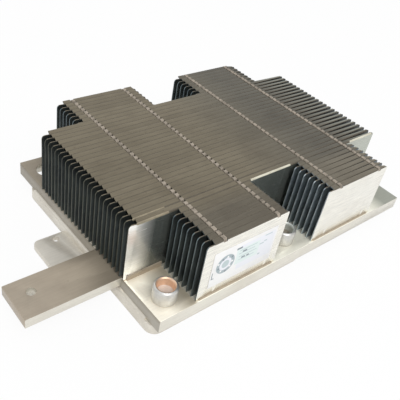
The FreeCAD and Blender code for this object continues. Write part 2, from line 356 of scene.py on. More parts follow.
def mixColour(tree, factor, first, second, blend="MIX"):  # each may be a socket or a value
    mix = addNode(tree, "Mix", data_type="RGBA", blend_type=blend)
    for key, value in (("factor", factor), ("first", first), ("second", second)):
        target = mix.inputs[colourMix[key]]
        if isinstance(value, bpy.types.NodeSocket):
            tree.links.new(value, target)
        else:
            target.default_value = value if key == "factor" else tuple(value) + (1,)
    return mix.outputs[colourMix["result"]]


def tinted(tree, colour, tone):  # the colour, lighter or darker by a changing tone
    scaled = addNode(tree, "VectorMath", operation="SCALE")
    tree.links.new(colour, scaled.inputs[0])
    tree.links.new(tone, scaled.inputs["Scale"])
    return scaled.outputs["Vector"]


def wornColour(tree, clean, stained, patchScale, amount):
    return useGroup(tree, handling, Clean=clean + (1,), Stained=stained + (1,), Patch_Scale=patchScale,
                    Amount=amount).outputs["Color"]


def pastPlace(tree, axis, first, second):  # a mask that turns on from the first place to the second
    return useGroup(tree, spanAlongAxis, Axis=axis, First=first, Second=second).outputs["Mask"]


def withShades(tree, colour, shades):  # each shade gives another tone past a place along an axis
    for axis, first, second, tone in shades:
        shaded = mixColour(tree, 1, colour, tone, "MULTIPLY")
        colour = mixColour(tree, pastPlace(tree, axis, first, second), colour, shaded)
    return colour


finSizes = {
    "gauge": 0.3 * mm,
    "bend": 0.22 * mm,          # outside radius of the folds
    "hemBend": 0.45 * mm,       # on the first two wide fins
    "leftRelief": 2.4 * mm,     # the flanges stop short of the ends
    "rightRelief": 0.9 * mm,
    "leftCorner": 1.0 * mm,
    "rightCorner": 0.8 * mm,
    "narrow": 1.38 * mm,        # flange depth just past the last lock
    "narrowStart": 1.4 * mm,    # from the last lock to where the flange gets narrower
    "narrowStep": 0.1 * mm,     # on each side of that place
    "endMargin": mm,            # the last cut before the narrow flange's end lies further in
    "leftLock": 6.0 * mm,
    "rightLock": 4.2 * mm,
    "lockRise": 0.25 * mm,
    "lockDrop": 0.7 * mm,       # the tongue leaves the face this far below the top
    "tongue": 1.1 * mm,
    "tongueStart": (0.4 * mm, 0.14 * mm),   # back and up, from the face's top edge
    "tongueRise": 0.05 * mm,
    "tongueTip": (0.15 * mm, -0.2 * mm),
    "tongueBend": 0.12 * mm,
    "leftSlot": 0.12 * mm,
    "rightSlot": 0.08 * mm,
    "reach": (1.45, 1.5, 1.86, 1.88),       # each tongue's length along Y, in mm, lock by lock
    "frontReach": (1.88, 1.8, 1.88, 1.88),
    "seam": 0.03 * mm,          # between a flange and the next fin
    "leftTaper": 0.5 * mm,      # each flange is cut back at its rear left corner
    "rightTaper": 0.7 * mm,     # the narrow flange gets narrower still
    "blockTaper": 0.35 * mm,    # on the front right block, towards its last lock
    "wideTaper": 0.2 * mm,      # the same on the wide fins
    "taperReach": mm,           # the cut beside the lock lies within this
    "bow": 0.24 * mm,           # the free left ends of the first wide fins lean back
    "bowSteps": 4,
}
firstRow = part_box("front_left_fin_01")
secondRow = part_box("front_left_fin_02")
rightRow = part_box("front_right_fin_01")
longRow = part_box("middle_fin_01")
rowSpacing = secondRow[0].y - firstRow[0].y
finBottom = longRow[0].z
finHeight = longRow[1].z - longRow[0].z - finSizes["lockRise"]
finTop = finBottom + finHeight
stackLeft, stackRight = longRow[0].x, longRow[1].x
stackFront = firstRow[0].y
longLength = stackRight - stackLeft
shortLength = firstRow[1].x - firstRow[0].x
leftStart = firstRow[0].x - stackLeft
rightStart = rightRow[0].x - stackLeft
finLook = {
    "face": (0.86, 0.84, 0.77), "faceStain": (0.74, 0.70, 0.62), "faceWear": (160, 0.35),  # scale and amount
    # painted shade: the flange tops are the same sheet as the faces, painted darker brown
    "top": (0.262, 0.226, 0.163), "topStain": (0.185, 0.155, 0.112), "topWear": (70, 0.6),
    "topEdges": (finTop - 0.16 * mm, finTop - 0.05 * mm),
    "foot": (0.45, 0.36, 0.26), "footHeight": 0.6 * mm,
    "frontShade": (0.72, 0.74, 0.80),       # painted shade: the tops are darker over the front rows
    "frontPlaces": (stackFront + 8 * rowSpacing, stackFront + 5 * rowSpacing),
    "rightShade": (0.65, 0.70, 0.79),       # and painted greyer shade to the right
    "rightPlaces": (stackRight - 58 * mm, stackRight - 28 * mm),
    # painted tone over the right hand front rows, a little cooler and lighter
    "rightFrontShade": (1.0, 1.03, 1.10),
    "endShade": (2.1, 2.3, 2.4),            # and painted lighter past the last lock
    "endPlaces": (stackRight - 16 * mm, stackRight - 4 * mm),
    "grain": {"Fineness": 4200, "Tone_Spread": 0.12, "Roughness": 0.24, "Roughness_Spread": 0.16,
              "Depth": 0.003 * mm},
    "eachTone": (0.93, 1.07),               # the fins differ a little from each other
    "metallic": 0.97,
}
# painted light and shade on the first wide fin's open front face: paler and less metallic, painted dark a few
# mm in from its left end where the notch's fins shade it, and painted lighter again near its right end
notchLook = {"face": (1.0, 0.99, 0.93), "metallic": 0.7}
notchShades = [
    (alongRow, stackLeft + 3.4 * mm, stackLeft + 8.2 * mm, (0.20, 0.22, 0.215)),
    (alongRow, stackLeft + 70 * mm, stackLeft + 85 * mm, (2.3, 2.2, 2.1)),
]
dullGrain = {"Fineness": 3600, "Tone_Spread": 0.1, "Roughness_Spread": 0.1}
# painted shade: the faces between the fins get darker over their top few mm, by topTone
dullTop = (finTop - 4 * mm, finTop - mm)
dullLooks = {
    # painted shade: the fins' end edges, near black where they face the deep gaps
    "finEdge": {"clean": (0.080, 0.079, 0.055), "stained": (0.025, 0.028, 0.03),
                "roughness": 0.45, "metallic": 0.6, "patchScale": 400},
    # painted shade: the faces between the fins, a dark copy of the fin metal
    "finInner": {"clean": (0.155, 0.178, 0.17), "stained": (0.09, 0.105, 0.115),
                 "roughness": 0.4, "metallic": 0.6, "patchScale": 200, "topTone": 0.3},
    # painted shade: the left blocks' fin ends, dark with a cool tint
    "notchEdge": {"clean": (0.15, 0.19, 0.20), "stained": (0.04, 0.055, 0.07),
                  "roughness": 0.4, "metallic": 0.6, "patchScale": 300},
    # painted light: the front right block's fin ends, pale and cool like glints
    "coolEdge": {"clean": (0.56, 0.63, 0.66), "stained": (0.12, 0.15, 0.19),
                 "roughness": 0.4, "metallic": 0.6, "patchScale": 300},
    # painted light: the front right block's faces between fins, paler and cool; darker over the top as painted
    # shade
    "coolInner": {"clean": (0.38, 0.45, 0.48), "stained": (0.16, 0.20, 0.24),
                  "roughness": 0.4, "metallic": 0.6, "patchScale": 200, "topTone": 0.35},
    # painted shade: the lock tongues in dull brown like the tops, so they show no bright reflection
    "lockMetal": {"clean": (0.43, 0.37, 0.30), "stained": (0.16, 0.135, 0.105),
                  "roughness": 0.5, "metallic": 0.5, "patchScale": 420},
    # painted highlight: a pale fold on the first wide fin along the middle and right notches
    "hemMetal": {"clean": (0.74, 0.71, 0.58), "stained": (0.56, 0.52, 0.40),
                 "roughness": 0.5, "metallic": 0.2, "patchScale": 300},
    # painted shade: a darker fold on the first wide fins along the left notch
    "notchHemMetal": {"clean": (0.36, 0.31, 0.215), "stained": (0.20, 0.165, 0.115),
                      "roughness": 0.5, "metallic": 0.3, "patchScale": 300},
    # painted shade: the top folds in dark brown, so they show no bright highlight
    "foldMetal": {"clean": (0.135, 0.115, 0.085), "stained": (0.10, 0.085, 0.065),
                  "roughness": 0.6, "metallic": 0.3, "patchScale": 180},
}
dullWear = 0.8
finSlots = {"face": 0, "edge": 1, "front": 2, "back": 3, "lock": 4, "fold": 5, "hem": 6, "notchHem": 7}


def makeFinMetal(name, look, shades=()):
    material, tree, shader = newMaterial(name)
    face = wornColour(tree, look["face"], look["faceStain"], *look["faceWear"])
    # the flange tops, in painted shade darker than the faces
    top = wornColour(tree, look["top"], look["topStain"], *look["topWear"])
    offFoot = pastPlace(tree, upward, finBottom, finBottom + look["footHeight"])
    # the shades put painted light and shade along the face
    lower = withShades(tree, mixColour(tree, offFoot, look["foot"], face), shades)
    # painted light and shade on the tops: darker over the front rows, greyer to the right, paler past the last
    # lock
    pastFront = pastPlace(tree, alongDepth, *look["frontPlaces"])
    leftTone = mixColour(tree, pastFront, plain, look["frontShade"])
    rightTone = mixColour(tree, pastFront, look["rightShade"], look["rightFrontShade"])
    rowTone = mixColour(tree, pastPlace(tree, alongRow, *look["rightPlaces"]), leftTone, rightTone)
    endTone = mixColour(tree, pastPlace(tree, alongRow, *look["endPlaces"]), plain, look["endShade"])
    topTone = mixColour(tree, 1, rowTone, endTone, "MULTIPLY")
    upper = mixColour(tree, 1, top, topTone, "MULTIPLY")
    colour = mixColour(tree, pastPlace(tree, upward, *look["topEdges"]), lower, upper)
    grain = useGroup(tree, drawnGrain, **look["grain"])
    each = addNode(tree, "ObjectInfo")
    low, high = look["eachTone"]
    eachTone = setInputs(addNode(tree, "MapRange"), To_Min=low, To_Max=high)
    tone = addNode(tree, "Math", operation="MULTIPLY")
    wire = tree.links.new
    wire(each.outputs["Random"], eachTone.inputs["Value"])
    wire(eachTone.outputs["Result"], tone.inputs[0])
    wire(grain.outputs["Tone"], tone.inputs[1])
    wire(tinted(tree, colour, tone.outputs[0]), shader.inputs["Base Color"])
    wire(grain.outputs["Roughness"], shader.inputs["Roughness"])
    wire(grain.outputs["Normal"], shader.inputs["Normal"])
    shader.inputs["Metallic"].default_value = look["metallic"]
    return material


def makeDullMetal(name, clean, stained, roughness, metallic, patchScale, topTone=1):
    material, tree, shader = newMaterial(name)
    worn = wornColour(tree, clean, stained, patchScale, dullWear)
    # the top few mm darkened by topTone: painted shade
    colour = withShades(tree, worn, [(upward, *dullTop, (topTone, topTone, topTone))])
    grain = useGroup(tree, drawnGrain, Roughness=roughness, **dullGrain)
    tree.links.new(tinted(tree, colour, grain.outputs["Tone"]), shader.inputs["Base Color"])
    tree.links.new(grain.outputs["Roughness"], shader.inputs["Roughness"])
    shader.inputs["Metallic"].default_value = metallic
    return material


finMetal = makeFinMetal("finMetal", finLook)
# the first wide fin's open face, with painted light and shade
notchFace = makeFinMetal("notchFace", finLook | notchLook, notchShades)
dullMetals = {name: makeDullMetal(name, **look) for name, look in dullLooks.items()}
print("fin metal made")


def byLock(plan, x):  # on a tongue or one of its slots
    left, right = plan["half"] + finSizes["leftSlot"], plan["half"] + finSizes["rightSlot"]
    return any(-left < x - lock < right for lock in plan["locks"])


def onTongue(plan, x):
    return any(abs(x - lock) < plan["half"] + hair for lock in plan["locks"])


def onLevel(at, level):
    return abs(at.z - level) < hair


def pickRim(test):  # part of the top flange's free edge
    pick("verts", lambda at, v: at.y > mm and at.z > mm and test(at.x))


def cutSheet(plan, name):  # a flat upright sheet, cut where it folds, splits or gets narrower
    size, length, half = finSizes, plan["length"], plan["half"]
    bpy.ops.mesh.primitive_plane_add(size=1, location=(length / 2, 0, finHeight / 2),
                                     rotation=(math.pi / 2, 0, 0))
    fin = bpy.context.object
    fin.name = name
    fin.scale = (length, finHeight, 1)
    settle(fin)
    editStart(fin, "VERT")
    pick("verts", lambda at, v: onLevel(at, finHeight) and at.x < length / 2)
    bpy.ops.mesh.bevel(offset=size["leftCorner"], segments=4, affect="VERTICES")
    pick("verts", lambda at, v: onLevel(at, finHeight) and at.x > length / 2)
    bpy.ops.mesh.bevel(offset=size["rightCorner"], segments=3, affect="VERTICES")
    near, far = plan["near"], plan["far"]
    cuts = [near, plan["narrowStart"] - size["narrowStep"], plan["narrowStart"] + size["narrowStep"], far]
    cuts += [end for notch in plan["notches"] for end in notch if near < end < far]
    cuts += [near * step / size["bowSteps"] for step in range(1, plan["bowSteps"])]
    for lock in plan["locks"]:
        cuts += [lock - half - size["leftSlot"], lock - half, lock + half, lock + half + size["rightSlot"]]
    for place in sorted(cuts):
        cutAt(0, place)
    cutAt(2, plan["dropLevel"])
    return fin


def foldFlanges(plan):
    def foldable(at, edge, level):
        return onLevel(at, level) and plan["near"] < at.x < plan["far"] and alongX(edge)

    bpy.ops.mesh.select_mode(type="EDGE")
    pick("edges", lambda at, e: foldable(at, e, 0))
    pushOut(plan["depth"], 0)
    pick("edges", lambda at, e: foldable(at, e, finHeight) and not byLock(plan, at.x))
    pushOut(plan["depth"], 0)
    bpy.ops.mesh.select_mode(type="FACE")
    pick("faces", lambda at, f: at.z > plan["dropLevel"] and abs(at.y) < hair and byLock(plan, at.x)
         and not onTongue(plan, at.x))
    bpy.ops.mesh.delete(type="FACE")


def shapeFlanges(plan):
    size, depth, lastLock = finSizes, plan["depth"], plan["locks"][-1]
    bpy.ops.mesh.select_mode(type="VERT")
    pickRim(lambda x: abs(x - plan["near"]) < hair)
    bpy.ops.transform.translate(value=(size["leftTaper"], 0, 0))
    if plan["narrowEnd"]:
        pickRim(lambda x: plan["narrowStart"] < x < plan["far"] - size["endMargin"])
        bpy.ops.transform.translate(value=(0, size["narrow"] - depth, 0))
        pickRim(lambda x: abs(x - plan["far"]) < hair)
        bpy.ops.transform.translate(value=(0, size["narrow"] - size["rightTaper"] - depth, 0))
    if plan["blockTaper"]:
        pickRim(lambda x: lastLock - size["taperReach"] < x < lastLock)
        bpy.ops.transform.translate(value=(0, -plan["blockTaper"], 0))
    sheetDepth = size["bow"] * 1.1  # takes in what has already moved
    for step in range(plan["bowSteps"]):  # the free left end bows back a little
        short = plan["near"] * (1 - step / size["bowSteps"])
        pick("verts", lambda at, v: at.y < sheetDepth and at.x < short - hair)
        bpy.ops.transform.translate(value=(0, size["bow"] / size["bowSteps"], 0))


def raiseTongues(plan, reaches):
    size = finSizes
    startBack, startUp = size["tongueStart"]
    tipBack, tipUp = size["tongueTip"]
    bpy.ops.mesh.select_mode(type="EDGE")
    for lock, reach in zip(plan["locks"], reaches):
        pick("edges", lambda at, e: onLevel(at, finHeight) and abs(at.y) < hair and alongX(e)
             and abs(at.x - lock) < plan["half"])
        bpy.ops.transform.translate(value=(0, startBack, startUp))
        pushOut(reach * mm - startBack - tipBack, size["tongueRise"])
        pushOut(tipBack, tipUp)


def roundFolds(plan, bend):
    pick("edges", lambda at, e: (onLevel(at, 0) or onLevel(at, finHeight)) and abs(at.y) < hair
         and plan["near"] < at.x < plan["far"] and alongX(e) and not onTongue(plan, at.x))
    bpy.ops.mesh.bevel(offset=bend, segments=2, affect="EDGES")
    pick("edges", lambda at, e: onTongue(plan, at.x) and alongX(e) and at.z > plan["dropLevel"] - hair
         and len(e.link_faces) == 2)
    bpy.ops.mesh.bevel(offset=finSizes["tongueBend"], segments=2, affect="EDGES")


def paintFin(fin, plan, bend):
    dull = dullMetals
    paint(fin, finMetal, dull["finEdge"], dull["finInner"], dull["finInner"], dull["lockMetal"],
          dull["foldMetal"], dull["foldMetal"], dull["notchHemMetal"])
    paintWhere(fin, finSlots["front"], lambda at, f: f.normal.y < -squarely)
    paintWhere(fin, finSlots["back"], lambda at, f: f.normal.y > squarely
               or (f.normal.z < -halfway and at.z > mm))
    # the top folds get the dark fold metal: painted shade
    paintWhere(fin, finSlots["fold"], lambda at, f: at.z > finHeight - bend and at.y < bend
               and f.normal.z > slightly and f.normal.y < -slightly)
    # the left notch's fold in painted shade, the others in the plain or highlighted fold
    for kind, (low, high) in zip(("notchHem", "hem", "hem"), plan["notches"]):
        paintWhere(fin, finSlots[kind], lambda at, f: f.material_index == finSlots["fold"]
                   and low < at.x < high)
    paintWhere(fin, finSlots["edge"], lambda at, f: f.normal.x < -halfway or f.normal.x > nearly)
    paintWhere(fin, finSlots["lock"], lambda at, f: onTongue(plan, at.x) and at.z > plan["dropLevel"]
               and f.normal.y < squarely)


def foldedFin(name, length, locks, reaches, bend, blockTaper=0, notches=(), narrowEnd=True):
    plan = {
        "length": length, "locks": locks, "notches": notches, "blockTaper": blockTaper, "narrowEnd": narrowEnd,
        "half": finSizes["tongue"] / 2,
        "near": finSizes["leftRelief"],
        "far": length - finSizes["rightRelief"],
        "narrowStart": locks[-1] + finSizes["narrowStart"],
        "dropLevel": finHeight - finSizes["lockDrop"],
        "depth": rowSpacing - finSizes["seam"],
        "bowSteps": finSizes["bowSteps"] if notches else 0,
    }
    fin = cutSheet(plan, name)
    foldFlanges(plan)
    shapeFlanges(plan)
    raiseTongues(plan, reaches)
    roundFolds(plan, bend)
    editEnd()
    applyModifier(fin, "SOLIDIFY", thickness=finSizes["gauge"], offset=-1)
    smoothByAngle(fin, edgeAngles["finSmooth"])
    paintFin(fin, plan, bend)
    return fin


shortLocks = [finSizes["leftLock"], shortLength - finSizes["rightLock"]]
longLocks = [leftStart + place for place in shortLocks] + [rightStart + place for place in shortLocks]
notches = [(0, leftStart), (leftStart + shortLength, rightStart), (rightStart + shortLength, longLength)]
reach, frontReach = finSizes["reach"], finSizes["frontReach"]
bend, hemBend = finSizes["bend"], finSizes["hemBend"]
blockTaper, wideTaper = finSizes["blockTaper"], finSizes["wideTaper"]
patterns = {
    "frontLeft": foldedFin("frontLeftPattern", shortLength, shortLocks, frontReach[:2], bend, narrowEnd=False),
    "frontRight": foldedFin("frontRightPattern", shortLength, shortLocks, frontReach[2:], bend, blockTaper),
    "rearLeft": foldedFin("rearLeftPattern", shortLength, shortLocks, reach[:2], bend, narrowEnd=False),
    "rearRight": foldedFin("rearRightPattern", shortLength, shortLocks, reach[2:], bend),
    "wide": foldedFin("widePattern", longLength, longLocks, reach, bend, wideTaper),
    "wideHem": foldedFin("wideHemPattern", longLength, longLocks, reach, hemBend, wideTaper, notches),
}
print("fin patterns folded, faces:", {name: len(fin.data.polygons) for name, fin in patterns.items()})


def setFin(node, parts, openFront=False, openBack=False):  # parts: each pattern with its start along the row
    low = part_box(node)[0]
    copies = []
    for name, start in parts:
        place = Matrix.Translation((stackLeft + start, low.y, finBottom))
        copies.append(ownCopy(patterns[name], node.replace("_", "") + name, place))
    fin = copies[0]
    if len(copies) > 1:
        joinInto(fin, copies[1:])
    fin.name = "folded_" + node
    kinds = dict(parts)
    changed = {}
    if openFront:
        changed["front"] = notchFace if "wideHem" in kinds else finMetal
        # the pale fold along the notches: painted highlight
        changed["hem"] = dullMetals["hemMetal"]
    if "frontLeft" in kinds or "rearLeft" in kinds:
        changed["edge"] = dullMetals["notchEdge"]
    if "frontRight" in kinds:
        changed["edge"] = dullMetals["coolEdge"]
        changed["back"] = dullMetals["coolInner"]
        changed.setdefault("front", dullMetals["coolInner"])
    if openBack:
        changed["back"] = finMetal
    for kind, metal in changed.items():
        fin.material_slots[finSlots[kind]].material = metal
    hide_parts(node)
    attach(fin, "heatsink")


hemRows, lastMiddleRow, lastRearRow = 2, 24, 7
for node in sorted(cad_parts):
    number = int(node[-2:]) if node[-2:].isdigit() else 0
    if node.startswith("middle_fin"):
        setFin(node, [("wideHem" if number <= hemRows else "wide", 0)], number == 1, number == lastMiddleRow)
    elif node.startswith("front_left_fin"):
        setFin(node, [("frontLeft", leftStart)], number == 1)
    elif node.startswith("front_right_fin"):
        setFin(node, [("frontRight", rightStart)], number == 1)
    elif node.startswith("rear_fin_pair"):
        setFin(node, [("rearLeft", leftStart), ("rearRight", rightStart)], False, number == lastRearRow)
for pattern in patterns.values():
    bpy.data.objects.remove(pattern)
print("fins set in rows")


plateGrain = {"Fineness": 2600, "Tone_Spread": 0.05, "Roughness_Spread": 0.14, "Depth": 0.004 * mm}


def platedMetal(name, clean, stained, roughness, metallic, patchScale=90, amount=0.45, shades=()):
    material, tree, shader = newMaterial(name)
    wire = tree.links.new
    colour = withShades(tree, wornColour(tree, clean, stained, patchScale, amount), shades)
    grain = useGroup(tree, drawnGrain, Roughness=roughness, **plateGrain)
    wire(tinted(tree, colour, grain.outputs["Tone"]), shader.inputs["Base Color"])
    wire(grain.outputs["Roughness"], shader.inputs["Roughness"])
    wire(grain.outputs["Normal"], shader.inputs["Normal"])
    shader.inputs["Metallic"].default_value = metallic
    return material


def makeMetals(looks):
    return {name: platedMetal(name, **look) for name, look in looks.items()}


def softenedCopy(node, name, slotName, body, *materials, softness=0.15 * mm, segments=2):
    piece = ownCopy(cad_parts[node], name, Matrix.Identity(4))
    piece.parent = None
    piece.matrix_world = Matrix.Identity(4)
    editStart(piece, "VERT")
    bpy.ops.mesh.select_all(action="SELECT")
    bpy.ops.mesh.remove_doubles(threshold=hair / 10)
    bpy.ops.mesh.dissolve_limited(angle_limit=math.radians(edgeAngles["flat"]))
    editEnd()
    applyModifier(piece, "BEVEL", width=softness, segments=segments, limit_method="ANGLE",
                  angle_limit=math.radians(edgeAngles["sharp"]))
    smoothByAngle(piece, edgeAngles["smooth"])
    paint(piece, *materials)
    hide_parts(node)
    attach(piece, body)
    return piece


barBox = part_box("side_bar")
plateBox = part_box("base_plate")
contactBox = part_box("contact_plate")
plateTop = plateBox[1].z
# painted reflection of the dark fins, darker towards the rear
toRear = (alongDepth, -14 * mm, 16 * mm)
plateMetals = makeMetals({
    "plateMetal": {
        "clean": (0.76, 0.73, 0.65), "stained": (0.64, 0.59, 0.50), "roughness": 0.32, "metallic": 0.7,
    },
    # the plate's top: a paler, less metallic copy of the plate metal as painted light
    "topMetal": {
        "clean": (1.0, 0.94, 0.80), "stained": (0.88, 0.80, 0.66), "roughness": 0.36, "metallic": 0.3,
        "shades": [
            (*toRear, (0.34, 0.31, 0.28)),
            # painted reflection of the fins beside the front notch, undone just past it
            (alongRow, stackLeft + 5 * mm, stackLeft + 11 * mm, (0.50, 0.47, 0.42)),
            (alongRow, stackLeft + 12 * mm, stackLeft + 13 * mm, (2.0, 2.2, 2.5)),
            # painted shadow of the fins on the right ear
            (alongRow, 62 * mm, 70 * mm, (0.34, 0.36, 0.35)),
        ],
    },
    # the plate's left side: a darker copy of the plate metal as painted shade, with painted reflection of the
    # fins towards the rear and painted shade just under the fins
    "sideMetal": {
        "clean": (0.48, 0.45, 0.39), "stained": (0.37, 0.34, 0.29), "roughness": 0.5, "metallic": 0.6,
        "shades": [
            (*toRear, (0.80, 0.78, 0.76)),
            (upward, plateTop - 1.5 * mm, plateTop - 0.2 * mm, (0.78, 0.75, 0.70)),
        ],
    },
    "contactMetal": {
        "clean": (0.76, 0.72, 0.64), "stained": (0.60, 0.55, 0.47), "roughness": 0.42, "metallic": 0.6,
    },
    "barMetal": {
        "clean": (0.49, 0.42, 0.33), "stained": (0.36, 0.30, 0.235), "roughness": 0.36, "metallic": 0.6,
        # painted shade: darker from the bar's tip towards the fins
        "shades": [(alongRow, barBox[0].x + 4 * mm, stackLeft + 2 * mm, (0.90, 0.89, 0.86))],
    },
})
plateMetal, contactMetal = plateMetals["plateMetal"], plateMetals["contactMetal"]
plateSlots = {"plate": 0, "side": 1, "top": 2}
plateLook = {"softness": 0.22 * mm, "contactSoftness": 0.18 * mm, "sideDepth": mm, "topDepth": 0.1 * mm}
basePlate = softenedCopy("base_plate", "plated_base_plate", "plate_metal", "heatsink", plateMetal,
                         plateMetals["sideMetal"], plateMetals["topMetal"], softness=plateLook["softness"])
# the left-facing sides get the darker copy: painted shade
paintWhere(basePlate, plateSlots["side"], lambda at, f: f.normal.x < -nearly
           and at.x < stackLeft + plateLook["sideDepth"])
# the top faces get the paler copy: painted light
paintWhere(basePlate, plateSlots["top"], lambda at, f: f.normal.z > nearly
           and at.z > plateTop - plateLook["topDepth"])
softenedCopy("contact_plate", "plated_contact_plate", "contact_metal", "heatsink", contactMetal,
             softness=plateLook["contactSoftness"])
barLook = {
    "softness": 0.3 * mm, "paleSlot": 1, "sideFacing": 0.6,
    "hole": Vector((-50.1 * mm, -12.5 * mm)), "holeReach": 1.43 * mm,
}
bar = softenedCopy("side_bar", "plated_side_bar", "bar_metal", "heatsink", plateMetals["barMetal"], plateMetal,
                   softness=barLook["softness"])
# painted light: the bar's front faces get the paler plate metal
paintWhere(bar, barLook["paleSlot"], lambda at, f: f.normal.y < -barLook["sideFacing"])
# painted light: the hole's walls are pale like the white floor seen through it
paintWhere(bar, barLook["paleSlot"], lambda at, f: (at.xy - barLook["hole"]).length < barLook["holeReach"]
           and f.normal.z < squarely)
print("plates and bar softened")


screwMetals = makeMetals({
    "screwMetal": {"clean": (0.66, 0.65, 0.62), "stained": (0.46, 0.43, 0.39),
                   "roughness": 0.42, "metallic": 0.85, "patchScale": 350, "amount": 0.6},
    # painted shade: a dark socket floor for the middle screws
    "greyFloor": {"clean": (0.30, 0.26, 0.21), "stained": (0.14, 0.11, 0.085),
                  "roughness": 0.5, "metallic": 0.4, "patchScale": 500, "amount": 0.8},
    "paleFloor": {"clean": (0.76, 0.70, 0.65), "stained": (0.56, 0.49, 0.44),
                  "roughness": 0.5, "metallic": 0.4, "patchScale": 500, "amount": 0.6},
    # a copper-coloured socket wall for the front left screw
    "tarnishedWall": {"clean": (0.86, 0.60, 0.42), "stained": (0.62, 0.40, 0.26),
                      "roughness": 0.4, "metallic": 0.6, "patchScale": 400, "amount": 0.6},
    "greyWall": {"clean": (0.72, 0.75, 0.70), "stained": (0.50, 0.50, 0.45),
                 "roughness": 0.4, "metallic": 0.5, "patchScale": 500, "amount": 0.6},
    "clipMetal": {"clean": (0.55, 0.53, 0.5), "stained": (0.36, 0.33, 0.3),
                  "roughness": 0.35, "metallic": 0.8, "patchScale": 300, "amount": 0.5},
})
screwLook = {
    "softness": 0.25 * mm, "clipSoftness": 0.08 * mm,
    "socketRadius": 2.75 * mm, "socketDepth": 2.7 * mm,
    "floorDepth": 2 * mm, "floorFacing": 0.7,  # faces this deep that look up enough are the socket's floor
    "socketMetals": {
        "front_left": ("tarnishedWall", "paleFloor"),
        "front_middle": ("greyWall", "greyFloor"),
        "rear_middle": ("greyWall", "greyFloor"),
    },
}
screwSlots = {"head": 0, "wall": 1, "floor": 2}
for corner, (wall, socketFloor) in screwLook["socketMetals"].items():
    screwNode = "captive_screw_" + corner
    clipNode = "retaining_clip_" + corner
    low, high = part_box(screwNode)
    middleX, middleY = (low.x + high.x) / 2, (low.y + high.y) / 2
    screw = softenedCopy(screwNode, "turned_screw_" + corner, "screw_metal", corner + "_screw",
                         screwMetals["screwMetal"], screwMetals[wall], screwMetals[socketFloor],
                         softness=screwLook["softness"], segments=3)

    def inSocket(at):
        fromAxis = math.hypot(at.x - middleX, at.y - middleY)
        return fromAxis < screwLook["socketRadius"] and at.z > high.z - screwLook["socketDepth"]

    paintWhere(screw, screwSlots["wall"], lambda at, f: inSocket(at))
    paintWhere(screw, screwSlots["floor"], lambda at, f: inSocket(at) and f.normal.z > screwLook["floorFacing"]
               and at.z < high.z - screwLook["floorDepth"])
    softenedCopy(clipNode, "spring_clip_" + corner, "clip_metal", corner + "_clip", screwMetals["clipMetal"],
                 softness=screwLook["clipSoftness"])
print("screws and clips softened")


solderLook = {
    "depth": 0.3 * mm, "low": 0.4 * mm, "tall": 1.7 * mm, "roundness": 0.8,
    "metal": {"clean": (0.50, 0.42, 0.32), "stained": (0.34, 0.27, 0.20), "roughness": 0.45, "metallic": 0.5,
              "patchScale": 260, "amount": 0.7},
}
solderMetal = platedMetal("solderMetal", **solderLook["metal"])


def solderRun(name, left, right, front, height):  # a fillet of solder along a fin's foot
    depth = solderLook["depth"]
    run = block(name, (left, front - depth, finBottom), (right, front, finBottom + height))
    editStart(run, "EDGE")
    pick("edges", lambda at, e: alongX(e) and at.z > finBottom + height / 2 and at.y < front - depth / 2)
    bpy.ops.mesh.bevel(offset=depth * solderLook["roundness"], segments=3, affect="EDGES")
    editEnd()
    smoothByAngle(run, edgeAngles["solderSmooth"])
    return run


longFront = longRow[0].y
solderRuns = [
    solderRun("solderA", firstRow[0].x + mm, firstRow[1].x - mm, stackFront, solderLook["low"]),
    solderRun("solderB", rightRow[0].x + mm, rightRow[1].x - mm, rightRow[0].y, solderLook["low"]),
    solderRun("solderC", stackLeft + mm, firstRow[0].x, longFront, solderLook["tall"]),
    solderRun("solderD", firstRow[1].x, rightRow[0].x, longFront, solderLook["low"]),
    solderRun("solderE", rightRow[1].x, stackRight - mm, longFront, solderLook["low"]),
]
joinInto(solderRuns[0], solderRuns[1:])
solder = solderRuns[0]
solder.name = "solder_fillets"
paint(solder, solderMetal)
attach(solder, "heatsink")


seamLook = {  # a rounded run under the base plate's left edge, on the contact plate
    "out": 0.6 * mm, "in": 0.2 * mm, "height": 0.7 * mm, "bend": 0.55 * mm,
    "frontInset": 5.4 * mm, "rearInset": 3.4 * mm,
}
plateLeft, plateUnder = plateBox[0].x, plateBox[0].z
seamLow = (plateLeft - seamLook["out"], plateBox[0].y + seamLook["frontInset"], plateUnder)
seamHigh = (plateLeft + seamLook["in"], contactBox[1].y - seamLook["rearInset"],
            plateUnder + seamLook["height"])
seam = block("plate_seam", seamLow, seamHigh)
editStart(seam, "EDGE")
pick("edges", lambda at, e: at.z > plateUnder + hair and at.x < plateLeft - seamLook["out"] / 2
     and sameAlong(e, 2) and sameAlong(e, 0))
bpy.ops.mesh.bevel(offset=seamLook["bend"], segments=3, affect="EDGES")
editEnd()
smoothByAngle(seam, edgeAngles["seamSmooth"])
paint(seam, contactMetal)
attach(seam, "heatsink")


